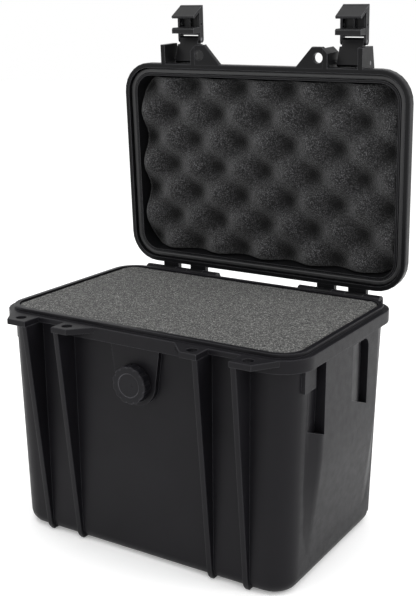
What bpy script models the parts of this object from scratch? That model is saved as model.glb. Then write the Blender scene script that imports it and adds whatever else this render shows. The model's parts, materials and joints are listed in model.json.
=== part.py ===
"""Hard equipment case with its lid open: moulded base and lid, foam, hinges, latches, purge knob."""
import math

import bmesh
import bpy
from mathutils import Matrix, Vector

# ---- overall sizes, metres ------------------------------------------------------------------
RIM_WIDTH = 0.270
RIM_DEPTH = 0.180
RIM_HEIGHT = 0.186
RIM_CORNER = 0.026
LID_HEIGHT = 0.026
LID_OPEN_ANGLE = math.radians(87.0)

# ---- base shell -----------------------------------------------------------------------------
FLANGE_THICK = 0.004
SKIRT_HEIGHT = 0.010
SKIRT_THICK = 0.0025
TONGUE_INSET = 0.0045
TONGUE_HEIGHT = 0.003
BODY_INSET = 0.0055
BODY_WALL = 0.0031
BODY_FLOOR = 0.004
BODY_TAPER_X = 0.0045
BODY_TAPER_Y = 0.0022
BODY_FOOT_RADIUS = 0.010
INNER_FOOT_RADIUS = 0.006
EDGE_BREAK = 0.0008

# ---- side panels, their strap pockets and the posts in front of them ------------------------
PANEL_FRONT = 0.0442
PANEL_BACK = 0.048
PANEL_RUN_OUT = 0.020
PANEL_REVEAL = 0.0004
PANEL_UPRIGHT = 0.066
POCKET_WALL = 0.0013
POCKET_DROP = 0.066
FRONT_POCKET_LENGTH = 0.021
REAR_POCKET_BACK = 0.031
REAR_POCKET_LENGTH = 0.034
REAR_POCKET_DEPTH = 0.0066
REAR_POCKET_TOP_DROP = 0.0115
REAR_POCKET_SLOPE = 0.013
REAR_POCKET_CORNER = 0.008
FRONT_POCKET_SLOPE = 0.008
POST_FRONT = 0.070
POST_WIDTH = 0.0166
POST_DROP = 0.018
POST_INSET = 0.0038
PANEL_SINK = 0.0004

# ---- front latch bays, tabs and ribs --------------------------------------------------------
LATCH_X = 0.0775
BAY_WIDTH = 0.026
TAB_REACH = 0.016
TAB_THICK = 0.0047
TAB_INNER_EDGE = 0.014
TAB_INNER_SLOPE = 0.0145
TAB_OUTER_EDGE = 0.0175
TAB_OUTER_SLOPE = 0.013
TAB_TIP_BACK = 0.004
TAB_HEEL = 0.0015
TAB_ROUND = 0.0006
PADLOCK_RADIUS = 0.0041
PADLOCK_OUTER_SHIFT = 0.002
PADLOCK_STEPS = 20
PADLOCK_FROM_BAY = 0.0086
PADLOCK_FROM_RIM = 0.0074
RIB_THICK = 0.0048
RIB_TOP_REACH = 0.0145
RIB_LOW_REACH = 0.0030
RIB_FOOT_LIFT = 0.0004
RIB_HEEL = 0.0013
RIB_ROUND = 0.0009

# ---- purge valve ----------------------------------------------------------------------------
VALVE_DROP = 0.0375
BOSS_TOP_HALF = 0.0225
BOSS_LOW_HALF = 0.0180
BOSS_FACE_INSET = 0.0015
KNOB_RADIUS = 0.0148
KNOB_LOBES = 13
KNOB_SCALLOP = 0.0011
KNOB_LOBE_FULLNESS = 0.7
KNOB_ROUND = 0.0009
KNOB_DISH_SHARE = 0.62
KNOB_THICK = 0.0085
KNOB_STAND_OFF = 0.0006
KNOB_FACE_DISH = 0.0012
STEM_RADIUS = 0.0044
STEM_REACH = 0.0036
ORING_RADIUS = 0.0080
ORING_THICK = 0.0014
VENT_RADIUS = 0.0016
VENT_RUN = 0.030
BORE_RUN = 0.005
MEMBRANE_THICK = 0.0006

# ---- lid ------------------------------------------------------------------------------------
LID_GAP = 0.0004
LID_RIM_HEIGHT = 0.008
LID_RIM_ROUND = 0.0010
LID_BODY_INSET = 0.006
LID_BODY_TAPER = 0.002
LID_TOP_RADIUS = 0.008
LID_PLATE = 0.003
GROOVE_CLEAR = 0.0004
GROOVE_DEPTH = 0.0062
GROOVE_INNER_WALL = 0.0016
INNER_WALL_DROP = 0.003
GASKET_THICK = 0.0030
GASKET_ROUND = 0.0013
LUG_THICK = 0.0042
LUG_HEIGHT = 0.0200
LUG_CHAMFER = 0.0052

# ---- hinges ---------------------------------------------------------------------------------
HINGE_X = 0.0785
HINGE_BACK = 0.0074
HINGE_DROP = 0.003
BARREL_RADIUS = 0.0052
HINGE_PIN_RADIUS = 0.0020
OUTER_KNUCKLE = 0.0144
LID_KNUCKLE = 0.0164
MIDDLE_KNUCKLE = 0.0118
KNUCKLE_GAP = 0.0004
LID_ARM_LIFT = 0.0007
LID_ARM_HEIGHT = 0.0045

# ---- latches, drawn hanging in their closed place -------------------------------------------
PIVOT_OUT = 0.003
PIVOT_LIFT = 0.017
LATCH_OPEN_ANGLE = math.radians(90.0)
PIVOT_PIN_RADIUS = 0.00175
LINK_BARREL_RADIUS = 0.0042
LINK_PLATE_HALF = 0.0110
LEVER_PIN_DROP = 0.016
LEVER_PIN_OUT = 0.006
LEVER_PIN_RADIUS = 0.0014
LEVER_EYE_RADIUS = 0.0030
EYE_CLEAR = 0.0010
LEVER_WIDTH = 0.0226
LEVER_SIDE = 0.0019
LEVER_NEAR = 0.003
LEVER_DEPTH = 0.006
LEVER_SKIN = 0.0017
LEVER_LENGTH = 0.0445
LIP_REACH = 0.0155
LIP_RISE = 0.0085
LIP_THICK = 0.0020
LIP_ROOT = 0.0024
SKIN_BELOW_EYE = 0.0004
LEVER_WEB = 0.0016
HOOK_THICK = 0.0048
HOOK_BITE = 0.004
HOOK_CLEAR = 0.0005
SIDE_HOLE_RADIUS = 0.0012

# ---- foam -----------------------------------------------------------------------------------
FOAM_CLEAR = 0.0008
FOAM_BELOW_LIP = 0.0006
FOAM_TOP_PAD = 0.050
FOAM_MIDDLE_PAD = 0.065
LID_FOAM_CLEAR = 0.0022
LID_FOAM_BELOW_RIM = 0.0032

# ---- shared clearances ----------------------------------------------------------------------
TOUCH_GAP = 0.0003
PIN_CLEAR = 0.0003
ROUND_STEPS = 24
CORNER_STEPS = 7
SAME_PLACE = 0.000001
SLIVER = 0.00002
SETTLE = 0.0001

# ---- values that follow from the sizes above ------------------------------------------------
half_w = RIM_WIDTH / 2
half_d = RIM_DEPTH / 2
cavity_inset = BODY_INSET + BODY_WALL
skirt_low = RIM_HEIGHT - SKIRT_HEIGHT
flange_low = RIM_HEIGHT - FLANGE_THICK
tab_low = RIM_HEIGHT - TAB_THICK
tongue_top = RIM_HEIGHT + TONGUE_HEIGHT
lid_low = RIM_HEIGHT + LID_GAP
lid_rim_top = lid_low + LID_RIM_HEIGHT
lid_top = lid_low + LID_HEIGHT
groove_outer = TONGUE_INSET - GROOVE_CLEAR
groove_inner = cavity_inset + GROOVE_CLEAR
lid_cavity_inset = groove_inner + GROOVE_INNER_WALL
bay_in = LATCH_X - BAY_WIDTH / 2
bay_out = LATCH_X + BAY_WIDTH / 2
front_y = -half_d
wall_front = -(half_d - BODY_INSET)
hinge_y = half_d + HINGE_BACK
hinge_z = RIM_HEIGHT - HINGE_DROP
pivot_y = front_y - PIVOT_OUT
pivot_z = RIM_HEIGHT + PIVOT_LIFT
lever_pin_y = pivot_y - LEVER_PIN_OUT
lever_pin_z = pivot_z - LEVER_PIN_DROP
valve_z = RIM_HEIGHT - VALVE_DROP
boss_face = front_y + BOSS_FACE_INSET
pin_hole = HINGE_PIN_RADIUS + PIN_CLEAR
hinge_bore = 2 * OUTER_KNUCKLE + 2 * LID_KNUCKLE + MIDDLE_KNUCKLE + 2 * HINGE_BACK


def make_collection(name):
    group = bpy.data.collections.new(name)
    bpy.context.scene.collection.children.link(group)
    return group


def make_material(name, colour, roughness, metallic=0.0):
    material = bpy.data.materials.new(name)
    material.use_nodes = True
    shader = material.node_tree.nodes["Principled BSDF"]
    shader.inputs["Base Color"].default_value = (*colour, 1.0)
    shader.inputs["Roughness"].default_value = roughness
    shader.inputs["Metallic"].default_value = metallic
    material.diffuse_color = (*colour, 1.0)
    return material


def clear_scene():
    for obj in list(bpy.data.objects):
        bpy.data.objects.remove(obj, do_unlink=True)


def add_mesh(name, bm):
    mesh = bpy.data.meshes.new(name)
    bmesh.ops.recalc_face_normals(bm, faces=bm.faces)
    bm.to_mesh(mesh)
    bm.free()
    obj = bpy.data.objects.new(name, mesh)
    tool_group.objects.link(obj)
    obj.hide_render = True
    obj.display_type = "WIRE"
    return obj


def publish(obj, material):
    """Move a finished piece out of the cutters and give it its look."""
    tool_group.objects.unlink(obj)
    part_group.objects.link(obj)
    obj.hide_render = False
    obj.display_type = "TEXTURED"
    obj.data.materials.clear()
    obj.data.materials.append(material)
    obj.data.shade_smooth()
    obj.data.set_sharp_from_angle(angle=math.radians(32.0))
    return obj


def block(name, x0, x1, y0, y1, z0, z1):
    bm = bmesh.new()
    bmesh.ops.create_cube(bm, size=1.0)
    centre = Vector(((x0 + x1) / 2, (y0 + y1) / 2, (z0 + z1) / 2))
    bmesh.ops.scale(bm, vec=(abs(x1 - x0), abs(y1 - y0), abs(z1 - z0)), verts=bm.verts)
    bmesh.ops.translate(bm, vec=centre, verts=bm.verts)
    return add_mesh(name, bm)


def flat_edges(bm, level):
    return [e for e in bm.edges if all(abs(v.co.z - level) < SAME_PLACE for v in e.verts)]


def round_level(bm, level, radius):
    """Round every real edge that lies at one height."""
    edges = [e for e in flat_edges(bm, level) if e.calc_face_angle(0.0) > math.radians(30.0)]
    bmesh.ops.bevel(bm, geom=edges, offset=radius, segments=2, profile=0.5, affect="EDGES")
    bmesh.ops.triangulate(bm, faces=[f for f in bm.faces if len(f.verts) < 5])


def tapered_block(name, inset_top, inset_low, z0, z1, corner, low_round=0.0, high_round=0.0, taper_y=None):
    """Rounded block measured inwards from the rim outline; the sides lean evenly between z0 and z1."""
    inset_low_y = inset_low if taper_y is None else taper_y
    bm = bmesh.new()
    bmesh.ops.create_cube(bm, size=2.0)
    for vert in bm.verts:
        high = vert.co.z > 0
        vert.co.x *= half_w - (inset_top if high else inset_low)
        vert.co.y *= half_d - (inset_top if high else inset_low_y)
        vert.co.z = z1 if high else z0
    upright = [e for e in bm.edges if abs(e.verts[0].co.z - e.verts[1].co.z) > SAME_PLACE]
    bmesh.ops.bevel(bm, geom=upright, offset=corner, segments=CORNER_STEPS, profile=0.5, affect="EDGES")
    for level, radius in ((z0, low_round), (z1, high_round)):
        if radius > 0:
            bmesh.ops.bevel(bm, geom=flat_edges(bm, level), offset=radius, segments=4, profile=0.5,
                            affect="EDGES")
    return add_mesh(name, bm)


def rod(name, axis, centre, radius, length, steps=ROUND_STEPS):
    bm = bmesh.new()
    turn = {"X": Matrix.Rotation(math.pi / 2, 3, "Y"), "Y": Matrix.Rotation(math.pi / 2, 3, "X"),
            "Z": Matrix.Identity(3)}[axis]
    bmesh.ops.create_cone(bm, cap_ends=True, segments=steps, radius1=radius, radius2=radius, depth=length)
    bmesh.ops.rotate(bm, matrix=turn, verts=bm.verts)
    bmesh.ops.translate(bm, vec=centre, verts=bm.verts)
    return add_mesh(name, bm)


PLANES = {
    "XY": Matrix(((1, 0, 0), (0, 1, 0), (0, 0, 1))),
    "YZ": Matrix(((0, 0, 1), (1, 0, 0), (0, 1, 0))),
    "XZ": Matrix(((1, 0, 0), (0, 0, -1), (0, 1, 0))),
}


def plate(name, plane, outlines, low, high, round_low=0.0, round_high=0.0):
    """Flat outline, with further outlines as holes, between two distances along the plane's normal."""
    curve = bpy.data.curves.new(name, "CURVE")
    curve.dimensions = "2D"
    curve.fill_mode = "BOTH"
    curve.extrude = (high - low) / 2
    for outline in outlines:
        spline = curve.splines.new("POLY")
        spline.points.add(len(outline) - 1)
        for point, (u, v) in zip(spline.points, outline):
            point.co = (u, v, 0.0, 1.0)
        spline.use_cyclic_u = True
    drawn = bpy.data.objects.new(name, curve)
    tool_group.objects.link(drawn)
    turn = PLANES[plane]
    middle = (low + high) / 2
    drawn.matrix_world = Matrix.Translation(turn @ Vector((0, 0, middle))) @ turn.to_4x4()
    bpy.context.view_layer.update()
    mesh = bpy.data.meshes.new_from_object(drawn.evaluated_get(bpy.context.evaluated_depsgraph_get()))
    bm = bmesh.new()
    bm.from_mesh(mesh)
    bmesh.ops.remove_doubles(bm, verts=bm.verts, dist=SAME_PLACE)
    bmesh.ops.dissolve_limit(bm, angle_limit=math.radians(0.5), verts=bm.verts, edges=bm.edges)
    for level, radius in ((-curve.extrude, round_low), (curve.extrude, round_high)):
        if radius > 0:
            round_level(bm, level, radius)
    bmesh.ops.transform(bm, matrix=drawn.matrix_world, verts=bm.verts)
    bpy.data.objects.remove(drawn)
    bpy.data.curves.remove(curve)
    bpy.data.meshes.remove(mesh)
    return add_mesh(name, bm)


def circle(u, v, radius, steps=ROUND_STEPS, start=0.0):
    step = 2 * math.pi / steps
    return [(u + radius * math.cos(start + i * step), v + radius * math.sin(start + i * step))
            for i in range(steps)]


def rounded_outline(inset, corner):
    """Rim outline moved inwards, with its corners as arcs."""
    radius = corner - inset
    points = []
    for quarter in range(4):
        sx = 1 if quarter in (0, 3) else -1
        sy = 1 if quarter in (0, 1) else -1
        cx = sx * (half_w - inset - radius)
        cy = sy * (half_d - inset - radius)
        for step in range(CORNER_STEPS + 1):
            angle = math.pi / 2 * (quarter + step / CORNER_STEPS)
            points.append((cx + radius * math.cos(angle), cy + radius * math.sin(angle)))
    return points


def arc(cu, cv, radius, start, stop, steps):
    return [(cu + radius * math.cos(math.radians(start + (stop - start) * i / steps)),
             cv + radius * math.sin(math.radians(start + (stop - start) * i / steps)))
            for i in range(steps + 1)]


def boolean(obj, tool, operation):
    modifier = obj.modifiers.new(tool.name, "BOOLEAN")
    modifier.operation = operation
    modifier.solver = "EXACT"
    modifier.object = tool


def join(obj, *tools):
    for tool in tools:
        boolean(obj, tool, "UNION")


def cut(obj, *tools):
    for tool in tools:
        boolean(obj, tool, "DIFFERENCE")


def keep_common(obj, tool):
    boolean(obj, tool, "INTERSECT")


def soften(obj, width, segments=2, angle=40.0):
    modifier = obj.modifiers.new("edge_rounding", "BEVEL")
    modifier.width = width
    modifier.segments = segments
    modifier.limit_method = "ANGLE"
    modifier.angle_limit = math.radians(angle)


def hang(obj, parent):
    """Parent while every empty still stands unturned, so the piece keeps its drawn place."""
    obj.parent = parent
    obj.matrix_parent_inverse = Matrix.Translation(-Vector(parent["place"]))


def marked_empty(name, location, parent=None):
    empty = bpy.data.objects.new(name, None)
    part_group.objects.link(empty)
    empty.location = location
    empty["place"] = location
    if parent is not None:
        hang(empty, parent)
    return empty


def mirrored(outline, side):
    return [(side * u, v) for u, v in outline]


# ---- base -----------------------------------------------------------------------------------
def wall_lean(level):
    """How far a side wall has leant inwards at a height, from nothing at the flange."""
    return BODY_TAPER_X * (flange_low - level) / flange_low


def ease(share):
    share = min(1.0, max(0.0, share))
    return share * share * (3.0 - 2.0 * share)


def panel_stand(level, end_share):
    """How far the raised strip stands out: flush with the skirt above, and sunk in the wall where it ends."""
    rise = (level - BODY_FOOT_RADIUS) / (RIM_HEIGHT - PANEL_UPRIGHT - BODY_FOOT_RADIUS)
    share = end_share * ease(rise)
    return (BODY_INSET - PANEL_REVEAL + wall_lean(level)) * share - PANEL_SINK * (1 - share)


def side_panel(side):
    """Raised strip on a side wall, drawn one unit proud and then pressed back to the wall's own stand."""
    name = f"panel_{'right' if side > 0 else 'left'}"
    unit = BODY_INSET
    wall = half_w - BODY_INSET
    steps = 6
    front = [(-PANEL_FRONT - PANEL_RUN_OUT * (1 - i / steps), ease(i / steps)) for i in range(steps + 1)]
    back = [(PANEL_BACK + PANEL_RUN_OUT * i / steps, ease(1 - i / steps)) for i in range(steps + 1)]
    skin = [(wall + unit * share, y) for y, share in front + back]
    outline = [(wall - BODY_WALL / 2, skin[0][1])] + skin + [(wall - BODY_WALL / 2, skin[-1][1])]
    panel = plate(name, "XY", [mirrored(outline, side)], BODY_FOOT_RADIUS, flange_low + TOUCH_GAP)
    bm = bmesh.new()
    bm.from_mesh(panel.data)
    levels = 7
    for index in range(1, levels):
        level = BODY_FOOT_RADIUS + (RIM_HEIGHT - PANEL_UPRIGHT - BODY_FOOT_RADIUS) * index / (levels - 1)
        bmesh.ops.bisect_plane(bm, geom=bm.verts[:] + bm.edges[:] + bm.faces[:], plane_co=(0, 0, level),
                               plane_no=(0, 0, 1))
    for vert in bm.verts:
        out = abs(vert.co.x) - wall
        stand = panel_stand(vert.co.z, out / unit) if out > -SLIVER else out
        vert.co.x = side * (wall - wall_lean(min(vert.co.z, flange_low)) + stand)
    bmesh.ops.triangulate(bm, faces=bm.faces)
    bm.to_mesh(panel.data)
    bm.free()
    return panel


def pocket_floor(start_x, deep_x, start_y, back_y, steps=6):
    """Floor of a strap pocket in plan: level with the surface in front, curving in to its back wall."""
    return [(start_x - (start_x - deep_x) * (i / steps) ** 2, start_y + (back_y - start_y) * i / steps)
            for i in range(steps + 1)]


def front_pocket(side):
    """Strap pocket between a front corner and the raised strip, under the skirt."""
    name = f"front_pocket_{'right' if side > 0 else 'left'}"
    outside = half_w + SKIRT_THICK + BODY_TAPER_X
    start_y = -PANEL_FRONT - FRONT_POCKET_LENGTH
    floor = pocket_floor(half_w - BODY_INSET + TOUCH_GAP, half_w - cavity_inset + POCKET_WALL, start_y,
                         -PANEL_FRONT)
    outline = [(outside, start_y)] + floor + [(outside, -PANEL_FRONT)]
    low = RIM_HEIGHT - POCKET_DROP
    top = skirt_low - TOUCH_GAP
    pocket = plate(name, "XY", [mirrored(outline, side)], low - TOUCH_GAP, top)
    for vert in pocket.data.vertices:
        vert.co.x -= side * wall_lean(vert.co.z)
    before = start_y - TOUCH_GAP
    behind = -PANEL_FRONT + TOUCH_GAP
    elevation = [(before, low + FRONT_POCKET_SLOPE), (behind, low), (behind, top + TOUCH_GAP),
                 (before, top + TOUCH_GAP)]
    inner, outer = sorted((side * (half_w - cavity_inset - BODY_TAPER_X), side * (outside + TOUCH_GAP)))
    keep_common(pocket, plate(f"{name}_elevation", "YZ", [elevation], inner, outer))
    return pocket


def rear_pocket(side):
    """Strap pocket in the raised strip, with a sloping foot and a rounded top corner at its back wall."""
    name = f"rear_pocket_{'right' if side > 0 else 'left'}"
    outside = half_w + SKIRT_THICK
    skin = half_w - PANEL_REVEAL
    start_y = REAR_POCKET_BACK - REAR_POCKET_LENGTH
    low = RIM_HEIGHT - POCKET_DROP
    top = RIM_HEIGHT - REAR_POCKET_TOP_DROP
    floor = pocket_floor(skin + TOUCH_GAP / 2, skin - REAR_POCKET_DEPTH, start_y, REAR_POCKET_BACK)
    plan = [(outside, start_y)] + floor + [(outside, REAR_POCKET_BACK)]
    pocket = plate(name, "XY", [mirrored(plan, side)], low - TOUCH_GAP, top + TOUCH_GAP)
    corner = arc(REAR_POCKET_BACK - REAR_POCKET_CORNER, top - REAR_POCKET_CORNER, REAR_POCKET_CORNER,
                 0.0, 90.0, 5)
    before = start_y - TOUCH_GAP
    elevation = [(before, low + REAR_POCKET_SLOPE), (REAR_POCKET_BACK, low)] + corner + [(before, top)]
    inner, outer = sorted((side * (skin - 2 * REAR_POCKET_DEPTH), side * (outside + TOUCH_GAP)))
    keep_common(pocket, plate(f"{name}_elevation", "YZ", [elevation], inner, outer))
    return pocket


def strap_post(side):
    name = f"post_{'right' if side > 0 else 'left'}"
    return block(name, side * (half_w - BODY_INSET - BODY_WALL / 2), side * (half_w - POST_INSET),
                 -POST_FRONT, -POST_FRONT + POST_WIDTH, skirt_low - POST_DROP, flange_low + TOUCH_GAP)


def rib(name, x0, x1):
    """Front rib in side view: deep under its tab, running down to the wall and wrapping round its foot."""
    root = wall_front + BODY_WALL * 0.75
    low_wall = wall_front + BODY_TAPER_Y
    middle = low_wall + BODY_FOOT_RADIUS
    radius = BODY_FOOT_RADIUS + RIB_LOW_REACH
    lowest = 180.0 + math.degrees(math.asin((BODY_FOOT_RADIUS - RIB_FOOT_LIFT) / radius))
    foot = arc(middle, BODY_FOOT_RADIUS, radius, 180.0, lowest, 5)
    heel = middle + RIB_HEEL
    outline = [(root, tab_low + TOUCH_GAP), (front_y - RIB_TOP_REACH, tab_low + TOUCH_GAP)] + foot + [
        (heel, RIB_FOOT_LIFT), (heel, BODY_FLOOR * 0.8), (root + BODY_TAPER_Y, BODY_FOOT_RADIUS)]
    drawn = plate(name, "YZ", [outline], min(x0, x1), max(x0, x1))
    soften(drawn, RIB_ROUND, 2, 50.0)
    return drawn


def inner_tab(side):
    """Plan outline and padlock hole of the tab between a latch bay and the middle of the front."""
    edge = bay_in - TAB_INNER_EDGE
    root = wall_front + BODY_WALL * 0.4
    outline = [(bay_in, root), (bay_in, front_y - TAB_REACH), (edge, front_y - TAB_REACH),
               (edge - TAB_INNER_SLOPE, front_y), (edge - TAB_INNER_SLOPE, root)]
    hole = circle(bay_in - PADLOCK_FROM_BAY, front_y - PADLOCK_FROM_RIM, PADLOCK_RADIUS, PADLOCK_STEPS)
    return [mirrored(outline, side), mirrored(hole, side)]


def outer_tab(side):
    edge = bay_out + TAB_OUTER_EDGE
    root = wall_front + BODY_WALL * 0.4
    tip = edge + TAB_OUTER_SLOPE
    outline = [(bay_out, root), (bay_out, front_y - TAB_REACH), (edge, front_y - TAB_REACH),
               (tip, front_y + TAB_TIP_BACK), (tip - TAB_TIP_BACK, root + TAB_HEEL), (edge, root)]
    hole = circle(bay_out + PADLOCK_FROM_BAY + PADLOCK_OUTER_SHIFT, front_y - PADLOCK_FROM_RIM,
                  PADLOCK_RADIUS, PADLOCK_STEPS)
    return [mirrored(outline, side), mirrored(hole, side)]


def knuckle_spans():
    """(is on the base, start, end) of each knuckle along a hinge, from its inner end."""
    widths = (OUTER_KNUCKLE, LID_KNUCKLE, MIDDLE_KNUCKLE, LID_KNUCKLE, OUTER_KNUCKLE)
    total = sum(widths) + KNUCKLE_GAP * (len(widths) - 1)
    start = HINGE_X - total / 2
    spans = []
    for index, width in enumerate(widths):
        spans.append((index % 2 == 0, start, start + width))
        start += width + KNUCKLE_GAP
    return spans


def knuckle(name, side, start, end, on_base):
    barrel = rod(name, "X", (side * (start + end) / 2, hinge_y, hinge_z), BARREL_RADIUS, end - start)
    if on_base:
        low = hinge_z - BARREL_RADIUS
        web = block(f"{name}_web", side * start, side * end, half_d - SKIRT_THICK / 2, hinge_y, low,
                    RIM_HEIGHT - TOUCH_GAP)
    else:
        low = RIM_HEIGHT + LID_ARM_LIFT
        web = block(f"{name}_arm", side * start, side * end, half_d - SKIRT_THICK / 2,
                    hinge_y + HINGE_PIN_RADIUS, low, low + LID_ARM_HEIGHT)
    join(barrel, web)
    return barrel


def valve_boss():
    radius = BOSS_LOW_HALF
    low = arc(0.0, valve_z, radius, 0.0, -180.0, 16)
    outline = [(BOSS_TOP_HALF, flange_low + TOUCH_GAP)] + low + [(-BOSS_TOP_HALF, flange_low + TOUCH_GAP)]
    return plate("valve_boss", "XZ", [outline], -(wall_front + BODY_WALL / 2), -boss_face)


def build_base(material):
    base = tapered_block("base_shell", BODY_INSET, BODY_INSET + BODY_TAPER_X, 0.0, flange_low + TOUCH_GAP,
                         RIM_CORNER - BODY_INSET, low_round=BODY_FOOT_RADIUS,
                         taper_y=BODY_INSET + BODY_TAPER_Y)
    for side in (-1, 1):
        join(base, side_panel(side))
        cut(base, front_pocket(side), rear_pocket(side))
        join(base, strap_post(side))
    for side in (-1, 1):
        tag = "right" if side > 0 else "left"
        join(base, rib(f"rib_in_{tag}", side * (bay_in - EDGE_BREAK / 4), side * (bay_in - RIB_THICK)))
        join(base, rib(f"rib_out_{tag}", side * (bay_out + EDGE_BREAK / 4), side * (bay_out + RIB_THICK)))
    join(base, valve_boss())
    skirt = plate("skirt", "XY", [rounded_outline(0.0, RIM_CORNER), rounded_outline(SKIRT_THICK, RIM_CORNER)],
                  skirt_low, flange_low + TOUCH_GAP)
    flange = plate("flange", "XY", [rounded_outline(0.0, RIM_CORNER)], flange_low, RIM_HEIGHT,
                   round_high=EDGE_BREAK)
    tongue = plate("tongue", "XY", [rounded_outline(TONGUE_INSET, RIM_CORNER)],
                   RIM_HEIGHT - FLANGE_THICK / 2, tongue_top, round_high=EDGE_BREAK)
    for side in (-1, 1):
        tag = "right" if side > 0 else "left"
        cut(skirt, block(f"bay_{tag}", side * (bay_in - RIB_THICK / 3), side * (bay_out + RIB_THICK / 3),
                         front_y - SKIRT_THICK, front_y + 2 * SKIRT_THICK, skirt_low - SKIRT_THICK,
                         flange_low + TOUCH_GAP * 2 / 3))
    join(base, flange, skirt, tongue)
    tab_top = RIM_HEIGHT - SETTLE
    for side in (-1, 1):
        tag = "right" if side > 0 else "left"
        for name, outlines in ((f"tab_in_{tag}", inner_tab(side)), (f"tab_out_{tag}", outer_tab(side))):
            join(base, plate(name, "XY", outlines, tab_low, tab_top, TAB_ROUND, TAB_ROUND))
        for index, (on_base, start, end) in enumerate(knuckle_spans()):
            if on_base:
                join(base, knuckle(f"base_knuckle_{tag}_{index}", side, start, end, True))
        cut(base, rod(f"base_pin_hole_{tag}", "X", (side * HINGE_X, hinge_y, hinge_z), pin_hole, hinge_bore))
    cavity_top = tongue_top + EDGE_BREAK
    share = (cavity_top - BODY_FLOOR) / flange_low
    cavity = tapered_block("cavity", cavity_inset, cavity_inset + BODY_TAPER_X * share, BODY_FLOOR,
                           cavity_top, RIM_CORNER - cavity_inset, low_round=INNER_FOOT_RADIUS,
                           taper_y=cavity_inset + BODY_TAPER_Y * share)
    cut(base, cavity)
    bore_end = boss_face + STEM_REACH + MEMBRANE_THICK + 3 * TOUCH_GAP
    bore_start = boss_face - BORE_RUN
    cut(base, rod("valve_bore", "Y", (0.0, (bore_start + bore_end) / 2, valve_z), STEM_RADIUS + PIN_CLEAR,
                  bore_end - bore_start))
    cut(base, rod("vent_hole", "Y", (0.0, wall_front, valve_z), VENT_RADIUS, VENT_RUN, 16))
    clean = base.modifiers.new("clean_slivers", "WELD")
    clean.merge_threshold = SLIVER
    return publish(base, material)


# ---- purge valve ----------------------------------------------------------------------------
def knob_outline():
    steps = KNOB_LOBES * 6
    points = []
    for index in range(steps):
        angle = 2 * math.pi * index / steps
        wave = abs(math.cos(KNOB_LOBES * angle / 2))
        radius = KNOB_RADIUS - KNOB_SCALLOP * (1.0 - wave ** KNOB_LOBE_FULLNESS)
        points.append((radius * math.cos(angle), valve_z + radius * math.sin(angle)))
    return points


def build_valve(knob_material, seal_material, membrane_material):
    back = -boss_face + KNOB_STAND_OFF
    face = back + KNOB_THICK
    place = marked_empty("purge_axis", (0.0, boss_face, valve_z))
    knob = plate("purge_knob", "XZ", [knob_outline()], back, face)
    soften(knob, KNOB_ROUND, 2, 50.0)
    stem = rod("knob_stem", "Y", (0.0, boss_face + (STEM_REACH - KNOB_THICK / 2) / 2, valve_z), STEM_RADIUS,
               STEM_REACH + KNOB_THICK / 2)
    seat_depth = KNOB_THICK / 2 - KNOB_STAND_OFF
    recess = rod("oring_seat", "Y", (0.0, boss_face + seat_depth / 2 - ORING_THICK - 2 * TOUCH_GAP, valve_z),
                 ORING_RADIUS + PIN_CLEAR, seat_depth, 32)
    dish = rod("knob_dish", "Y", (0.0, -face, valve_z), KNOB_RADIUS * KNOB_DISH_SHARE, KNOB_FACE_DISH)
    cut(knob, recess, dish)
    join(knob, stem)
    publish(knob, knob_material)
    hang(knob, place)
    oring = plate("purge_oring", "XZ", [circle(0.0, valve_z, ORING_RADIUS),
                                        circle(0.0, valve_z, STEM_RADIUS + PIN_CLEAR)],
                  -boss_face + TOUCH_GAP, -boss_face + TOUCH_GAP + ORING_THICK)
    publish(oring, seal_material)
    hang(oring, place)
    deep = boss_face + STEM_REACH + TOUCH_GAP
    membrane = rod("purge_membrane", "Y", (0.0, deep + MEMBRANE_THICK / 2, valve_z), STEM_RADIUS,
                   MEMBRANE_THICK)
    publish(membrane, membrane_material)


# ---- lid ------------------------------------------------------------------------------------
def lug(name, x0, x1):
    """Latch lug in side view, as a buttress that rises towards the top of the lid."""
    reach = front_y - TAB_REACH + EDGE_BREAK / 4
    root = front_y + (LID_BODY_INSET + lid_cavity_inset) / 2
    outline = [(root, lid_low), (reach, lid_low), (reach, lid_low + LUG_HEIGHT), (root, lid_top - EDGE_BREAK)]
    return plate(name, "YZ", [outline, circle(pivot_y, pivot_z, PIVOT_PIN_RADIUS + PIN_CLEAR, 16)],
                 min(x0, x1), max(x0, x1))


def lug_chamfer(name, side):
    """Cutter that slopes the inner lug and its tab off towards the latch bay."""
    reach = front_y - TAB_REACH
    outline = [(bay_in + EDGE_BREAK, reach - EDGE_BREAK),
               (bay_in - LUG_CHAMFER - EDGE_BREAK, reach - EDGE_BREAK),
               (bay_in + EDGE_BREAK, reach + LUG_CHAMFER + EDGE_BREAK)]
    return plate(name, "XY", [mirrored(outline, side)], lid_low - EDGE_BREAK, lid_top)


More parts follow.
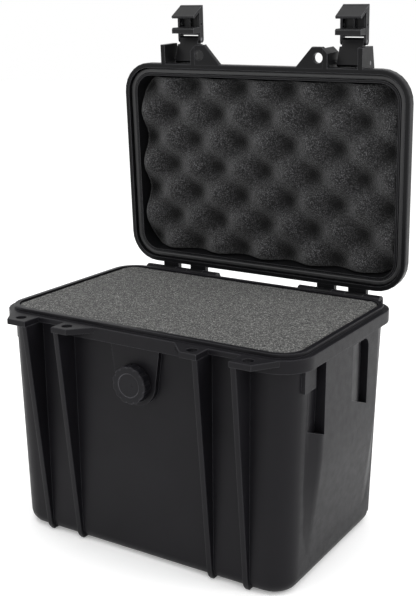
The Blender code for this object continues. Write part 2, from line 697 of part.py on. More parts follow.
def build_lid(material, parent):
    lid = tapered_block("lid_shell", LID_BODY_INSET + LID_BODY_TAPER, LID_BODY_INSET,
                        lid_rim_top - LID_RIM_HEIGHT / 2, lid_top, RIM_CORNER - LID_BODY_INSET,
                        high_round=LID_TOP_RADIUS)
    rim = plate("lid_rim", "XY", [rounded_outline(0.0, RIM_CORNER)], lid_low, lid_rim_top, LID_RIM_ROUND,
                LID_RIM_ROUND)
    below = lid_low - EDGE_BREAK
    groove = plate("lid_groove", "XY", [rounded_outline(groove_outer, RIM_CORNER),
                                        rounded_outline(groove_inner, RIM_CORNER)],
                   below, lid_low + GROOVE_DEPTH)
    relief = plate("lid_wall_relief", "XY", [rounded_outline(groove_inner - GROOVE_CLEAR, RIM_CORNER)],
                   below, lid_low + INNER_WALL_DROP)
    hollow = tapered_block("lid_hollow", lid_cavity_inset + LID_BODY_TAPER, lid_cavity_inset, below,
                           lid_top - LID_PLATE, RIM_CORNER - lid_cavity_inset,
                           high_round=LID_TOP_RADIUS - LID_PLATE)
    tools = [rim, groove, relief, hollow]
    join(lid, rim)
    for side in (-1, 1):
        tag = "right" if side > 0 else "left"
        pieces = [lug(f"lug_in_{tag}", side * (bay_in - EDGE_BREAK / 4), side * (bay_in - LUG_THICK)),
                  lug(f"lug_out_{tag}", side * bay_out, side * (bay_out + LUG_THICK)),
                  plate(f"lid_tab_{tag}", "XY", inner_tab(side), lid_low + SETTLE, lid_low + TAB_THICK,
                        TAB_ROUND, TAB_ROUND)]
        for index, (on_base, start, end) in enumerate(knuckle_spans()):
            if not on_base:
                pieces.append(knuckle(f"lid_knuckle_{tag}_{index}", side, start, end, False))
        join(lid, *pieces)
        cutters = [rod(f"lid_pin_hole_{tag}", "X", (side * HINGE_X, hinge_y, hinge_z), pin_hole, hinge_bore),
                   lug_chamfer(f"lug_chamfer_{tag}", side)]
        cut(lid, *cutters)
        tools += pieces + cutters
    cut(lid, groove, relief, hollow)
    clean = lid.modifiers.new("clean_slivers", "WELD")
    clean.merge_threshold = SLIVER
    for tool in tools:
        hang(tool, parent)
        for modifier in tool.modifiers:
            if modifier.type == "BOOLEAN":
                hang(modifier.object, parent)
    publish(lid, material)
    hang(lid, parent)


def build_gasket(material, parent):
    gasket = plate("lid_gasket", "XY", [rounded_outline(groove_outer + TOUCH_GAP, RIM_CORNER),
                                        rounded_outline(groove_inner - TOUCH_GAP, RIM_CORNER)],
                   lid_low + GROOVE_DEPTH - TOUCH_GAP - GASKET_THICK, lid_low + GROOVE_DEPTH - TOUCH_GAP,
                   round_low=GASKET_ROUND)
    publish(gasket, material)
    hang(gasket, parent)


# ---- foam -----------------------------------------------------------------------------------
def foam_pad(name, low, high, material):
    """One foam layer, leaning with the inside of the base."""
    spread = flange_low

    def inset(level, taper):
        return cavity_inset + FOAM_CLEAR + taper * (tongue_top - level) / spread

    pad = tapered_block(name, inset(high, BODY_TAPER_X), inset(low, BODY_TAPER_X), low, high,
                        RIM_CORNER - cavity_inset, taper_y=inset(low, BODY_TAPER_X))
    return publish(pad, material)


def build_foam(material, lid_material, parent):
    top = tongue_top - FOAM_BELOW_LIP
    seam = top - FOAM_TOP_PAD
    low_seam = seam - FOAM_MIDDLE_PAD
    foam_pad("base_foam_top", seam, top, material)
    foam_pad("base_foam_middle", low_seam, seam - TOUCH_GAP, material)
    pad = foam_pad("base_foam_bottom", BODY_FLOOR + TOUCH_GAP, low_seam - TOUCH_GAP, material)
    soften(pad, INNER_FOOT_RADIUS, 3, 60.0)
    lid_pad = tapered_block("lid_foam", lid_cavity_inset + LID_FOAM_CLEAR + LID_BODY_TAPER,
                            lid_cavity_inset + LID_FOAM_CLEAR, lid_low + LID_FOAM_BELOW_RIM,
                            lid_top - LID_PLATE - TOUCH_GAP, RIM_CORNER - lid_cavity_inset,
                            high_round=LID_TOP_RADIUS - LID_PLATE)
    publish(lid_pad, lid_material)
    hang(lid_pad, parent)


# ---- hinges and latches ---------------------------------------------------------------------
def build_hinge_pin(side, material):
    tag = "right" if side > 0 else "left"
    spans = knuckle_spans()
    length = spans[-1][2] - spans[0][1] - 2 * EDGE_BREAK
    pin = rod(f"hinge_pin_{tag}", "X", (side * HINGE_X, hinge_y, hinge_z), HINGE_PIN_RADIUS, length)
    publish(pin, material)


def link_outline():
    """Side view of the link: round the pivot, across, and round the lever pin."""
    lean = math.degrees(math.atan2(LEVER_PIN_DROP, LEVER_PIN_OUT))
    upper = arc(pivot_y, pivot_z, LINK_BARREL_RADIUS, -lean + 90.0, 270.0 - lean, 12)
    lower = arc(lever_pin_y, lever_pin_z, LEVER_EYE_RADIUS - 2 * SETTLE, 180.0, 360.0, 10)
    return upper + lower


def build_link(name, centre, material, parent):
    inner_half = LEVER_WIDTH / 2 - LEVER_SIDE - PIN_CLEAR
    body = plate(name, "YZ", [link_outline(),
                              circle(pivot_y, pivot_z, PIVOT_PIN_RADIUS + PIN_CLEAR, 16),
                              circle(lever_pin_y, lever_pin_z, LEVER_PIN_RADIUS + PIN_CLEAR, 16)],
                 centre - LINK_PLATE_HALF, centre + LINK_PLATE_HALF)
    eye_top = lever_pin_z + LEVER_EYE_RADIUS + EYE_CLEAR
    for side in (-1, 1):
        notch = block(f"{name}_notch_{side}", centre + side * inner_half, centre + side * LEVER_WIDTH,
                      lever_pin_y - LEVER_PIN_DROP, pivot_y + LEVER_PIN_OUT,
                      lever_pin_z - LEVER_PIN_DROP, eye_top)
        cut(body, notch)
        hang(notch, parent)
    publish(body, material)
    hang(body, parent)


def build_lever(name, centre, material, parent):
    half = LEVER_WIDTH / 2
    near = pivot_y - LEVER_NEAR
    far = near - LEVER_DEPTH
    low = pivot_z - LEVER_LENGTH
    hook_top = flange_low - HOOK_CLEAR
    eye = arc(lever_pin_y, lever_pin_z, LEVER_EYE_RADIUS, 180.0, 0.0, 10)
    cheek_low = low + LIP_RISE * LEVER_DEPTH / LIP_REACH
    cheek = [(far, low)] + eye + [(near, cheek_low)]
    holes = [circle(lever_pin_y, lever_pin_z, LEVER_PIN_RADIUS + PIN_CLEAR, 16),
             circle((near + far) / 2, hook_top - HOOK_THICK - 2 * SIDE_HOLE_RADIUS, SIDE_HOLE_RADIUS, 10)]
    lever = plate(name, "YZ", [cheek] + holes, centre + half - LEVER_SIDE, centre + half)
    second = plate(f"{name}_cheek", "YZ", [cheek] + holes, centre - half, centre - half + LEVER_SIDE)
    skin_top = lever_pin_z - LEVER_EYE_RADIUS - SKIN_BELOW_EYE
    skin = block(f"{name}_skin", centre - half + SETTLE, centre + half - SETTLE, far + SETTLE,
                 far + LEVER_SKIN, low + EDGE_BREAK / 2, skin_top)
    lip = [(far + SETTLE, low), (far + LIP_REACH, low + LIP_RISE),
           (far + LIP_REACH, low + LIP_RISE + LIP_THICK - EDGE_BREAK),
           (far + LIP_REACH - EDGE_BREAK, low + LIP_RISE + LIP_THICK), (far + SETTLE, low + LIP_ROOT)]
    finger = plate(f"{name}_lip", "YZ", [lip], centre - half + SETTLE, centre + half - SETTLE)
    bite = front_y + HOOK_BITE
    nose = HOOK_THICK / 4
    hook = [(far + 2 * SETTLE, hook_top - HOOK_THICK), (bite - nose, hook_top - HOOK_THICK),
            (bite, hook_top - HOOK_THICK + nose), (bite, hook_top), (far + 2 * SETTLE, hook_top)]
    bar = plate(f"{name}_hook", "YZ", [hook], centre - half + 2 * SETTLE, centre + half - 2 * SETTLE)
    web = block(f"{name}_web", centre - LEVER_WEB / 2, centre + LEVER_WEB / 2, far + LEVER_SKIN / 3,
                near - LEVER_SKIN, low + LIP_THICK, hook_top - HOOK_THICK / 4)
    tools = [second, skin, finger, bar, web]
    join(lever, *tools)
    for tool in tools:
        hang(tool, parent)
    publish(lever, material)
    hang(lever, parent)


def build_latch(side, materials, lid_axis):
    tag = "right" if side > 0 else "left"
    centre = side * LATCH_X
    swing = marked_empty(f"latch_{tag}_swing", (centre, pivot_y, pivot_z), lid_axis)
    press = marked_empty(f"latch_{tag}_press", (centre, lever_pin_y, lever_pin_z), swing)
    build_link(f"latch_{tag}_link", centre, materials["latch"], swing)
    build_lever(f"latch_{tag}_lever", centre, materials["latch"], press)
    pin = rod(f"latch_{tag}_pivot_pin", "X", (centre, pivot_y, pivot_z), PIVOT_PIN_RADIUS,
              BAY_WIDTH + 2 * LUG_THICK - 2 * TOUCH_GAP, 16)
    publish(pin, materials["pin"])
    hang(pin, lid_axis)
    small = rod(f"latch_{tag}_lever_pin", "X", (centre, lever_pin_y, lever_pin_z), LEVER_PIN_RADIUS,
                LEVER_WIDTH - 2 * TOUCH_GAP, 16)
    publish(small, materials["pin"])
    hang(small, swing)
    return swing


clear_scene()
part_group = make_collection("equipment_case")
tool_group = make_collection("cutters")

looks = {
    "shell": make_material("moulded_shell", (0.026, 0.025, 0.029), 0.48),
    "lid": make_material("moulded_lid", (0.024, 0.024, 0.026), 0.46),
    "latch": make_material("latch_plastic", (0.030, 0.030, 0.033), 0.42),
    "pin": make_material("pin_steel", (0.20, 0.20, 0.21), 0.35, 0.9),
    "knob": make_material("knob_plastic", (0.022, 0.021, 0.026), 0.5),
    "seal": make_material("seal_rubber", (0.018, 0.018, 0.019), 0.6),
    "membrane": make_material("membrane_fabric", (0.5, 0.5, 0.5), 0.8),
    "foam": make_material("block_foam", (0.11, 0.11, 0.105), 0.95),
    "lid_foam": make_material("convoluted_foam", (0.035, 0.035, 0.037), 0.95),
}

lid_axis = marked_empty("lid_axis", (0.0, hinge_y, hinge_z))
build_base(looks["shell"])
build_valve(looks["knob"], looks["seal"], looks["membrane"])
build_lid(looks["lid"], lid_axis)
build_gasket(looks["seal"], lid_axis)
build_foam(looks["foam"], looks["lid_foam"], lid_axis)
swings = []
for side in (-1, 1):
    build_hinge_pin(side, looks["pin"])
    swings.append(build_latch(side, looks, lid_axis))

# Stand the lid open and the latches swung up.
for swing in swings:
    swing.rotation_euler.x = -LATCH_OPEN_ANGLE
lid_axis.rotation_euler.x = -LID_OPEN_ANGLE
bpy.context.view_layer.update()
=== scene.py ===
import json
import math

import bmesh
import bpy
import numpy as np
from mathutils import Matrix, Vector, noise


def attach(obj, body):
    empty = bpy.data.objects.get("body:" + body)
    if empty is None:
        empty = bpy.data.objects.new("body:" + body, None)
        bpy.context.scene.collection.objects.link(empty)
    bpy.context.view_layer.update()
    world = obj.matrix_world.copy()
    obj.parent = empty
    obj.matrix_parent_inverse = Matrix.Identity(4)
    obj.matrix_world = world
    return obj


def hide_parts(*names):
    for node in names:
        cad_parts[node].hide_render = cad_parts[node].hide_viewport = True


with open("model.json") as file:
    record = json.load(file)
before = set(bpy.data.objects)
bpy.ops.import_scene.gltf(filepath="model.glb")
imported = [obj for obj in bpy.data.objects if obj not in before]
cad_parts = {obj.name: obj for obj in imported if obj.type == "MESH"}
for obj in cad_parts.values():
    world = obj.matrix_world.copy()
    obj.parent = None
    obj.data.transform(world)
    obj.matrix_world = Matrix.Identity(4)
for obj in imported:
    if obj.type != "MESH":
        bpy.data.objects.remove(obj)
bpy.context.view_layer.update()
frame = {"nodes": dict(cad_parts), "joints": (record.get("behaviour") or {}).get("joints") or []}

scene = bpy.context.scene
sides = ("left", "right")


# the lid stands open, so its pieces are drawn on a shut lid and then swung up with it
lidHinge = next(joint for joint in frame["joints"] if joint["name"] == "lid_hinge")
hingePoint = Vector(lidHinge["pos_m"])
shutAngle = math.radians(lidHinge["range_deg"][1])
swingUp = Matrix.Rotation(-shutAngle, 4, "X")
swingUp = Matrix.Translation(hingePoint) @ swingUp @ Matrix.Translation(-hingePoint)


def nodePoints(nodeName, turn=Matrix.Identity(4)):
    points = [turn @ vertex.co for vertex in frame["nodes"][nodeName].data.vertices]
    return np.array(points, float)


camera = {
    "place": (0.43335, -0.68632, 0.41282),
    "turn": 31.75,          # degrees to the left of straight back
    "dip": 15.98,
    "roll": -0.13,
    "lens": 63.41,
    "shift": (0.0005, 0.0253),
}

studio = {
    "surround": 1.0,        # light from all round
    "keyWatts": 7.0,
    "keyPlace": (1.15, 0.25, 1.05),
    "keySize": 1.0,
    "topWatts": 8.0,
    "topPlace": (-0.1, -0.15, 1.5),
    "topSize": 1.3,
    "frontWatts": 2.0,
    "frontPlace": (-0.75, -1.25, 0.75),
    "frontSize": 0.9,
    "aim": (0.0, 0.0, 0.17),
    "floorTone": (0.93, 0.93, 0.93),
    "floorGlow": 0.20,
    "floorRoughness": 0.9,
    "floorRadius": 6.0,
}


def setCamera():
    data = bpy.data.cameras.new("studioCamera")
    data.lens = camera["lens"]
    data.sensor_width = 36.0
    data.shift_x, data.shift_y = camera["shift"]
    seen = bpy.data.objects.new("studioCamera", data)
    scene.collection.objects.link(seen)
    turn = Matrix.Rotation(math.radians(camera["turn"]), 4, "Z")
    tilt = Matrix.Rotation(math.radians(90.0 - camera["dip"]), 4, "X")
    roll = Matrix.Rotation(math.radians(camera["roll"]), 4, "Z")
    seen.matrix_world = Matrix.Translation(camera["place"]) @ turn @ tilt @ roll
    scene.camera = seen


def softLight(name):
    place = Vector(studio[f"{name}Place"])
    data = bpy.data.lights.new(f"{name}Light", "AREA")
    data.shape = "DISK"
    data.size = studio[f"{name}Size"]
    data.energy = studio[f"{name}Watts"]
    lamp = bpy.data.objects.new(f"{name}Light", data)
    lamp.location = place
    lamp.rotation_euler = (Vector(studio["aim"]) - place).to_track_quat("-Z", "Y").to_euler()
    scene.collection.objects.link(lamp)


def setStudio():
    world = bpy.data.worlds.new("studioSurround")
    world.use_nodes = True
    tree = world.node_tree
    room = tree.nodes["Background"]
    room.inputs["Color"].default_value = (1.0, 1.0, 1.0, 1.0)
    room.inputs["Strength"].default_value = studio["surround"]
    scene.world = world
    scene.view_settings.view_transform = "Standard"
    for name in ("key", "top", "front"):
        softLight(name)


def layFloor():
    bm = bmesh.new()
    bmesh.ops.create_circle(bm, cap_ends=True, segments=96, radius=studio["floorRadius"])
    mesh = bpy.data.meshes.new("studioFloor")
    bm.to_mesh(mesh)
    bm.free()
    floor = bpy.data.objects.new("studioFloor", mesh)
    scene.collection.objects.link(floor)
    look = bpy.data.materials.new("paleFloor")
    look.use_nodes = True
    shader = look.node_tree.nodes["Principled BSDF"]
    for socket in ("Base Color", "Emission Color"):
        shader.inputs[socket].default_value = (*studio["floorTone"], 1.0)
    shader.inputs["Emission Strength"].default_value = studio["floorGlow"]
    shader.inputs["Roughness"].default_value = studio["floorRoughness"]
    mesh.materials.append(look)


setCamera()
setStudio()
layFloor()
print("studio ready")


def newLook(name):
    look = bpy.data.materials.new(name)
    look.use_nodes = True
    tree = look.node_tree
    return look, tree, tree.nodes["Principled BSDF"]


def nodeOf(tree, kind, **settings):
    made = tree.nodes.new(kind)
    for key, value in settings.items():
        if key in made.inputs:
            made.inputs[key].default_value = value
        else:
            setattr(made, key, value)
    return made


def pieceSpace(tree, stretch=(1.0, 1.0, 1.0)):
    where = tree.nodes.new("ShaderNodeTexCoord")
    scaled = nodeOf(tree, "ShaderNodeMapping", Scale=stretch)
    tree.links.new(where.outputs["Object"], scaled.inputs["Vector"])
    return scaled.outputs["Vector"]


def cloudy(tree, space, scale, detail=3.0, roughness=0.5):
    made = nodeOf(tree, "ShaderNodeTexNoise", Scale=scale, Detail=detail, Roughness=roughness)
    tree.links.new(space, made.inputs["Vector"])
    return made.outputs["Fac"]


def cells(tree, space, scale):
    made = nodeOf(tree, "ShaderNodeTexVoronoi", feature="F1", Scale=scale)
    tree.links.new(space, made.inputs["Vector"])
    return made.outputs["Distance"]


def spread(tree, value, low, high, fromLow=0.3, fromHigh=0.7):
    made = tree.nodes.new("ShaderNodeMapRange")
    numbers = {"From Min": fromLow, "From Max": fromHigh, "To Min": low, "To Max": high}
    for socket, number in numbers.items():
        made.inputs[socket].default_value = number
    tree.links.new(value, made.inputs["Value"])
    return made.outputs["Result"]


def tones(tree, value, stops):
    ramp = tree.nodes.new("ShaderNodeValToRGB").color_ramp
    made = tree.nodes[-1]
    while len(ramp.elements) < len(stops):
        ramp.elements.new(0.5)
    for element, (place, tone) in zip(ramp.elements, stops):
        element.position = place
        element.color = (*tone, 1.0)
    tree.links.new(value, made.inputs["Fac"])
    return made.outputs["Color"]


def sumOf(tree, first, second, share=1.0):
    made = nodeOf(tree, "ShaderNodeMath", operation="MULTIPLY_ADD")
    made.inputs[1].default_value = share
    tree.links.new(second, made.inputs[0])
    tree.links.new(first, made.inputs[2])
    return made.outputs[0]


def blended(tree, share, colour, tone):
    # the colour goes over to one tone where the share is high
    made = tree.nodes.new("ShaderNodeMix")
    made.data_type = "RGBA"
    tree.links.new(share, made.inputs["Factor"])
    tree.links.new(colour, made.inputs["A"])
    made.inputs["B"].default_value = (*tone, 1.0)
    return made.outputs["Result"]


def embossed(tree, shader, height, strength, depth):
    made = nodeOf(tree, "ShaderNodeBump", Strength=strength, Distance=depth)
    tree.links.new(height, made.inputs["Height"])
    tree.links.new(made.outputs["Normal"], shader.inputs["Normal"])


plastics = {
    "shell": {
        "dark": (0.0048, 0.0045, 0.0057),
        "pale": (0.0072, 0.0068, 0.0084),
        "edgeWearAndHighlight": (0.050, 0.050, 0.055),     # tone of the edges: a painted highlight, with some wear
        "gloss": (0.38, 0.46),
        "sheen": 0.13,
        "grain": 2600.0,
        "relief": 0.00004,
    },
    "lid": {
        "dark": (0.0042, 0.0042, 0.0047),
        "pale": (0.0064, 0.0064, 0.0070),
        "edgeWearAndHighlight": (0.085, 0.085, 0.092),
        "gloss": (0.28, 0.38),
        "sheen": 0.13,
        "grain": 2600.0,
        "relief": 0.00004,
    },
    "latch": {
        "dark": (0.0055, 0.0055, 0.0060),
        "pale": (0.0090, 0.0090, 0.0098),
        "edgeWearAndHighlight": (0.090, 0.090, 0.097),
        "gloss": (0.28, 0.38),
        "sheen": 0.18,
        "grain": 3400.0,
        "relief": 0.00003,
    },
    "knob": {
        "dark": (0.0050, 0.0048, 0.0062),
        "pale": (0.0082, 0.0080, 0.0098),
        "edgeWearAndHighlight": (0.140, 0.138, 0.150),
        "gloss": (0.26, 0.36),
        "sheen": 0.13,
        "grain": 3000.0,
        "relief": 0.00004,
    },
}

plasticSurface = {
    "drift": 22.0,          # broad change of tone over a wall
    "bloom": 140.0,         # small patches of gloss
    "ripple": 320.0,        # waviness left by the mould
    "edgeHighlightReach": 0.0007,    # how far the painted edge highlight and wear reach in from an edge
    "emboss": 0.55,
    "refraction": 1.48,
}


def mouldedPlastic(name, values):
    look, tree, shader = newLook(name)
    space = pieceSpace(tree)
    drift = cloudy(tree, space, plasticSurface["drift"], 4.0, 0.6)
    bloom = cloudy(tree, space, plasticSurface["bloom"], 3.0, 0.6)
    clouds = sumOf(tree, drift, bloom, 0.35)
    colour = tones(tree, clouds, [(0.40, values["dark"]), (0.95, values["pale"])])
    # edges are painted lighter where the rounded normal leaves the flat one: a painted highlight
    # along the edges, with some edge wear
    rolled = nodeOf(tree, "ShaderNodeBevel", samples=4, Radius=plasticSurface["edgeHighlightReach"])
    facing = nodeOf(tree, "ShaderNodeVectorMath", operation="DOT_PRODUCT")
    tree.links.new(rolled.outputs["Normal"], facing.inputs[0])
    flat = tree.nodes.new("ShaderNodeNewGeometry")
    tree.links.new(flat.outputs["True Normal"], facing.inputs[1])
    edgeWearAndHighlightShare = spread(tree, facing.outputs["Value"], 1.0, 0.0, 0.80, 0.99)
    tree.links.new(blended(tree, edgeWearAndHighlightShare, colour, values["edgeWearAndHighlight"]), shader.inputs["Base Color"])
    low, high = values["gloss"]
    tree.links.new(spread(tree, bloom, low, high), shader.inputs["Roughness"])
    grain = cells(tree, space, values["grain"])
    ripple = cloudy(tree, space, plasticSurface["ripple"], 2.0)
    height = sumOf(tree, grain, ripple, 1.2)
    embossed(tree, shader, height, plasticSurface["emboss"], values["relief"])
    shader.inputs["IOR"].default_value = plasticSurface["refraction"]
    shader.inputs["Specular IOR Level"].default_value = values["sheen"]
    return look


foams = {
    "block": {
        "dark": (0.003, 0.003, 0.003),
        "mid": (0.027, 0.027, 0.026),
        "pale": (0.330, 0.330, 0.314),
        "cell": 760.0,
        "relief": 0.0010,
    },
    "egg": {
        "dark": (0.001, 0.001, 0.0011),
        "mid": (0.019, 0.019, 0.0198),
        "pale": (0.150, 0.150, 0.156),
        "cell": 900.0,
        "relief": 0.0008,
    },
}

foamSurface = {
    "patches": 240.0,
    "emboss": 0.9,
    "gloss": 0.2,
    "fuzz": 0.15,
    "fuzzRoughness": 0.5,
}


def openCellFoam(name, values):
    look, tree, shader = newLook(name)
    space = pieceSpace(tree)
    pores = cells(tree, space, values["cell"])
    struts = cloudy(tree, space, values["cell"] * 1.3, 4.0, 0.75)
    patches = cloudy(tree, space, foamSurface["patches"], 3.0, 0.6)
    mixed = sumOf(tree, sumOf(tree, struts, pores, -0.28), patches, 0.18)
    stops = [(0.26, values["dark"]), (0.46, values["mid"]), (0.66, values["pale"])]
    colour = tones(tree, mixed, stops)
    # painted shade: the foam colour goes darker in the pits, where shade falls
    depth = nodeOf(tree, "ShaderNodeAttribute", attribute_name="paintedPitShade").outputs["Fac"]
    tree.links.new(blended(tree, depth, colour, values["dark"]), shader.inputs["Base Color"])
    tree.links.new(spread(tree, struts, 0.82, 1.0), shader.inputs["Roughness"])
    height = sumOf(tree, struts, pores, -1.0)
    embossed(tree, shader, height, foamSurface["emboss"], values["relief"])
    shader.inputs["Specular IOR Level"].default_value = foamSurface["gloss"]
    shader.inputs["Sheen Weight"].default_value = foamSurface["fuzz"]
    shader.inputs["Sheen Roughness"].default_value = foamSurface["fuzzRoughness"]
    return look


finishes = {
    "sealRubber": {
        "stretch": (1.0, 1.0, 1.0),
        "cloud": (260.0, 4.0, 0.65),        # scale, detail and roughness of the pattern
        "tones": [(0.35, (0.010, 0.010, 0.011)), (0.8, (0.024, 0.024, 0.025))],
        "gloss": (0.38, 0.58),
        "emboss": (0.3, 0.00004),
        "metal": 0.0,
    },
    "darkSteel": {
        "stretch": (1.0, 30.0, 30.0),       # brushed along X
        "cloud": (90.0, 4.0, 0.7),
        "tones": [(0.3, (0.11, 0.11, 0.115)), (0.8, (0.27, 0.27, 0.28))],
        "gloss": (0.26, 0.44),
        "emboss": (0.2, 0.00002),
        "metal": 0.9,
    },
    "ventFabric": {
        "stretch": (1.0, 1.0, 1.0),
        "cloud": (1800.0, 5.0, 0.8),
        "tones": [(0.3, (0.42, 0.42, 0.41)), (0.75, (0.62, 0.62, 0.60))],
        "gloss": (0.75, 0.95),
        "emboss": (0.6, 0.00006),
        "metal": 0.0,
    },
}


def patterned(name):
    values = finishes[name]
    look, tree, shader = newLook(name)
    pattern = cloudy(tree, pieceSpace(tree, values["stretch"]), *values["cloud"])
    tree.links.new(tones(tree, pattern, values["tones"]), shader.inputs["Base Color"])
    tree.links.new(spread(tree, pattern, *values["gloss"]), shader.inputs["Roughness"])
    embossed(tree, shader, pattern, *values["emboss"])
    shader.inputs["Metallic"].default_value = values["metal"]
    return look


looks = {slot: mouldedPlastic(f"{slot}Plastic", values) for slot, values in plastics.items()}
looks["base_foam"] = openCellFoam("blockFoam", foams["block"])
looks["lid_foam"] = openCellFoam("eggFoam", foams["egg"])
looks["seal"] = patterned("sealRubber")
looks["pin_steel"] = patterned("darkSteel")
looks["membrane"] = patterned("ventFabric")
print("materials ready:", len(looks))


def addPiece(name, mesh, body, slotName, *replaced):
    piece = bpy.data.objects.new(name, mesh)
    scene.collection.objects.link(piece)
    mesh.materials.clear()
    mesh.materials.append(looks[slotName])
    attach(piece, body)
    if replaced:
        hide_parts(*replaced)
    return piece


# moulded pieces keep the frame's shape, with their edges rounded as they leave a mould
mouldedPieces = {
    "caseBase": {"node": "base_shell", "body": "base", "slot": "shell", "edge": 0.0005},
    "caseLid": {"node": "lid_shell", "body": "lid", "slot": "lid", "edge": 0.0005},
    "ventKnob": {"node": "purge_knob", "body": "purge_grip", "slot": "knob", "edge": 0.0003},
}
for side in sides:
    for pieceName, node, body in (("Arm", "link", "arm"), ("Grip", "lever", "grip")):
        mouldedPieces[f"{side}Latch{pieceName}"] = {
            "node": f"latch_{side}_{node}",
            "body": f"latch_{side}_{body}",
            "slot": "latch",
            "edge": 0.0004,
        }
moulding = {
    "segments": 2,
    "sharpest": math.radians(34.0),      # only edges sharper than this are rounded
    "flatWithin": math.radians(0.8),
    "weld": 0.000005,
}


def mouldedPiece(name, values):
    mesh = frame["nodes"][values["node"]].data.copy()
    mesh.name = name
    bm = bmesh.new()
    bm.from_mesh(mesh)
    bmesh.ops.remove_doubles(bm, verts=bm.verts, dist=moulding["weld"])
    bmesh.ops.dissolve_limit(bm, angle_limit=moulding["flatWithin"], verts=bm.verts, edges=bm.edges)
    bm.to_mesh(mesh)
    bm.free()
    piece = addPiece(name, mesh, values["body"], values["slot"], values["node"])
    mesh.shade_smooth()
    rounded = piece.modifiers.new("mouldedEdges", "BEVEL")
    rounded.width = values["edge"]
    rounded.segments = moulding["segments"]
    rounded.limit_method = "ANGLE"
    rounded.angle_limit = moulding["sharpest"]
    rounded.use_clamp_overlap = True
    even = piece.modifiers.new("evenShading", "WEIGHTED_NORMAL")
    even.keep_sharp = True


for name, values in mouldedPieces.items():
    mouldedPiece(name, values)
print("moulded pieces:", len(mouldedPieces))


def roundedPlan(count, halfX, halfY, corner):
    # a grid over a rounded rectangle; its corner squares are drawn in to quarter discs
    across = np.linspace(-1.0, 1.0, count[0])
    along = np.linspace(-1.0, 1.0, count[1])
    x, y = np.meshgrid(across * halfX, along * halfY, indexing="ij")
    overX = np.maximum(np.abs(x) - (halfX - corner), 0.0)
    overY = np.maximum(np.abs(y) - (halfY - corner), 0.0)
    length = np.hypot(overX, overY)
    draw = np.where(length > 0, np.maximum(overX, overY) / np.maximum(length, 1e-9), 1.0)
    both = (overX > 0) & (overY > 0)
    x = np.where(both, np.sign(x) * (halfX - corner + overX * draw), x)
    y = np.where(both, np.sign(y) * (halfY - corner + overY * draw), y)
    return x, y


def rimOf(rows, columns):
    index = np.arange(rows * columns).reshape(rows, columns)
    return np.concatenate([index[:-1, 0], index[-1, :-1], index[:0:-1, -1], index[0, :0:-1]])


def grainAt(points, size, depth):
    return np.array([noise.noise(Vector(p) / size) for p in points]) * depth


def foamPad(name, faceHalf, backHalf, corner, backLevel, heightAt, step, grain, paintedPitShadeAt=None):
    # face up at heightAt(x, y), flat back at backLevel; paintedPitShadeAt(x, y) tells how much
    # painted shade the face gets where it is sunk
    rows = int(2 * faceHalf[0] / step) + 1
    columns = int(2 * faceHalf[1] / step) + 1
    x, y = roundedPlan((rows, columns), *faceHalf, corner)
    face = np.stack([x.ravel(), y.ravel(), heightAt(x, y).ravel()], 1)
    face[:, 2] += grainAt(face, grain["size"], grain["depth"])
    rim = rimOf(rows, columns)
    points = [face]
    quads = []
    index = np.arange(rows * columns).reshape(rows, columns)
    squares = [index[:-1, :-1], index[1:, :-1], index[1:, 1:], index[:-1, 1:]]
    quads.append(np.stack(squares, -1).reshape(-1, 4))
    turns = max(3, int((face[:, 2].max() - backLevel) / (2.5 * step)))
    above = rim
    start = len(face)
    for turn in range(1, turns + 1):
        share = turn / turns
        ring = face[rim].copy()
        ring[:, 0] *= 1 + (backHalf[0] / faceHalf[0] - 1) * share
        ring[:, 1] *= 1 + (backHalf[1] / faceHalf[1] - 1) * share
        ring[:, 2] = ring[:, 2] * (1 - share) + backLevel * share
        if turn < turns:
            ring[:, :2] *= 1 + grainAt(ring, grain["size"] * 2, grain["depth"] * 4)[:, None]
        below = np.arange(start, start + len(rim))
        band = [above, np.roll(above, -1), np.roll(below, -1), below]
        quads.append(np.stack(band, -1)[:, ::-1])
        points.append(ring)
        start += len(rim)
        above = below
    points.append(np.array([[0.0, 0.0, backLevel]]))
    mesh = bpy.data.meshes.new(name)
    faces = [tuple(q) for q in np.concatenate(quads)]
    faces += [(int(a), int(b), start) for a, b in zip(above, np.roll(above, -1))]
    mesh.from_pydata(np.concatenate(points).tolist(), [], faces)
    bm = bmesh.new()
    bm.from_mesh(mesh)
    bmesh.ops.recalc_face_normals(bm, faces=bm.faces)
    bm.to_mesh(mesh)
    bm.free()
    mesh.shade_smooth()
    # the painted pit shade is stored on the points for the material
    paintedPitShade = mesh.attributes.new("paintedPitShade", "FLOAT", "POINT")
    shade = np.zeros(len(mesh.vertices))
    if paintedPitShadeAt is not None:
        shade[:len(face)] = paintedPitShadeAt(x, y).ravel()
    paintedPitShade.data.foreach_set("value", shade)
    return mesh


blockPads = {
    "step": 0.0021,
    "corner": 0.0174,
    "grain": {"size": 0.0022, "depth": 0.00028},
    "softEdge": 0.0014,     # how far the cut edge rolls over
    "faceGap": 0.0004,      # the grain stays under the solid's top
    "fill": 0.9,
}


nearFace = 0.002            # points this close to a face belong to it


def blockPad(name, nodeName):
    points = nodePoints(nodeName)
    top, low = points[:, 2].max(), points[:, 2].min()
    upper = points[points[:, 2] > top - nearFace]
    lower = points[points[:, 2] < low + nearFace]
    faceHalf = (upper[:, 0].max(), upper[:, 1].max())
    backHalf = (lower[:, 0].max(), lower[:, 1].max())
    soft = blockPads["softEdge"]

    def heightAt(x, y):
        edge = np.minimum(faceHalf[0] - np.abs(x), faceHalf[1] - np.abs(y))
        fall = np.clip(1 - edge / (2 * soft), 0, 1) ** 2
        return top - blockPads["faceGap"] - soft * 0.6 * fall

    mesh = foamPad(name, faceHalf, backHalf, blockPads["corner"], low, heightAt,
                   blockPads["step"], blockPads["grain"])
    piece = addPiece(name, mesh, "base", "base_foam", nodeName)


for layer in ("top", "middle", "bottom"):
    blockPad(f"{layer}FoamPad", f"base_foam_{layer}")
print("block foam ready")


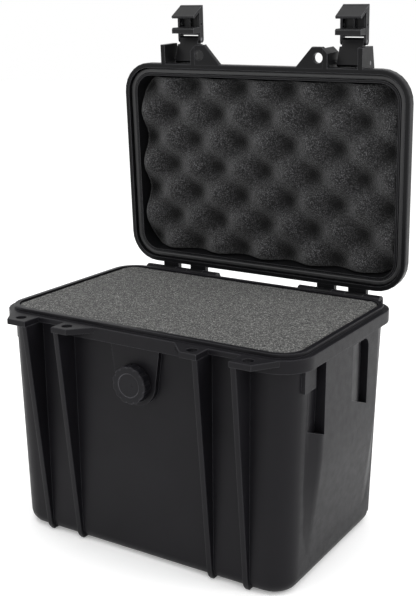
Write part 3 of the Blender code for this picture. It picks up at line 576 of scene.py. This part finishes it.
eggFoam = {
    "pitch": (0.0465, 0.0470),   # from pit to pit along the lid and across it
    "relief": 0.0135,            # from the peaks down to the pits
    "step": 0.0018,
    "corner": 0.0150,
    "grain": {"size": 0.0021, "depth": 0.0004},
    "pitShade": 1.0,             # how dark the pits are
    "pitReach": 1.8,             # higher keeps the shade to the middle of a pit
    "faceGap": 0.0006,
    "backInset": 0.002,
    "backGap": 0.0002,
    "fill": 0.85,
}


def eggPad():
    points = nodePoints("lid_foam", swingUp.inverted())
    mouth, back = points[:, 2].min(), points[:, 2].max()
    half = (points[:, 0].max(), points[:, 1].max())

    def pitAt(x, y):
        along, across = eggFoam["pitch"]
        wave = np.cos(2 * math.pi * x / along) * np.cos(2 * math.pi * y / across)
        return 0.5 + 0.5 * wave

    def heightAt(x, y):
        return -mouth - eggFoam["faceGap"] - eggFoam["relief"] * pitAt(x, y)

    # painted shade, darkest in the middle of each pit
    def paintedPitShadeAt(x, y):
        return eggFoam["pitShade"] * pitAt(x, y) ** eggFoam["pitReach"]

    backHalf = (half[0] - eggFoam["backInset"], half[1] - eggFoam["backInset"])
    backLevel = -back + eggFoam["backGap"]
    mesh = foamPad("eggFoamPad", half, backHalf, eggFoam["corner"], backLevel, heightAt,
                   eggFoam["step"], eggFoam["grain"], paintedPitShadeAt)
    mesh.transform(Matrix.Diagonal((1.0, 1.0, -1.0, 1.0)))
    mesh.flip_normals()
    mesh.transform(swingUp)
    piece = addPiece("eggFoamPad", mesh, "lid", "lid_foam", "lid_foam")


eggPad()
print("egg foam ready")


# seals and pins keep the frame's solids
keptNodes = {"lid_gasket": "seal", "purge_oring": "seal", "purge_membrane": "membrane"}
for side in sides:
    keptNodes[f"hinge_pin_{side}"] = "pin_steel"
    keptNodes[f"latch_{side}_pivot_pin"] = "pin_steel"
    keptNodes[f"latch_{side}_lever_pin"] = "pin_steel"
for nodeName, slotName in keptNodes.items():
    kept = frame["nodes"][nodeName]
    kept.data.materials.clear()
    kept.data.materials.append(looks[slotName])
print("kept nodes:", len(keptNodes))
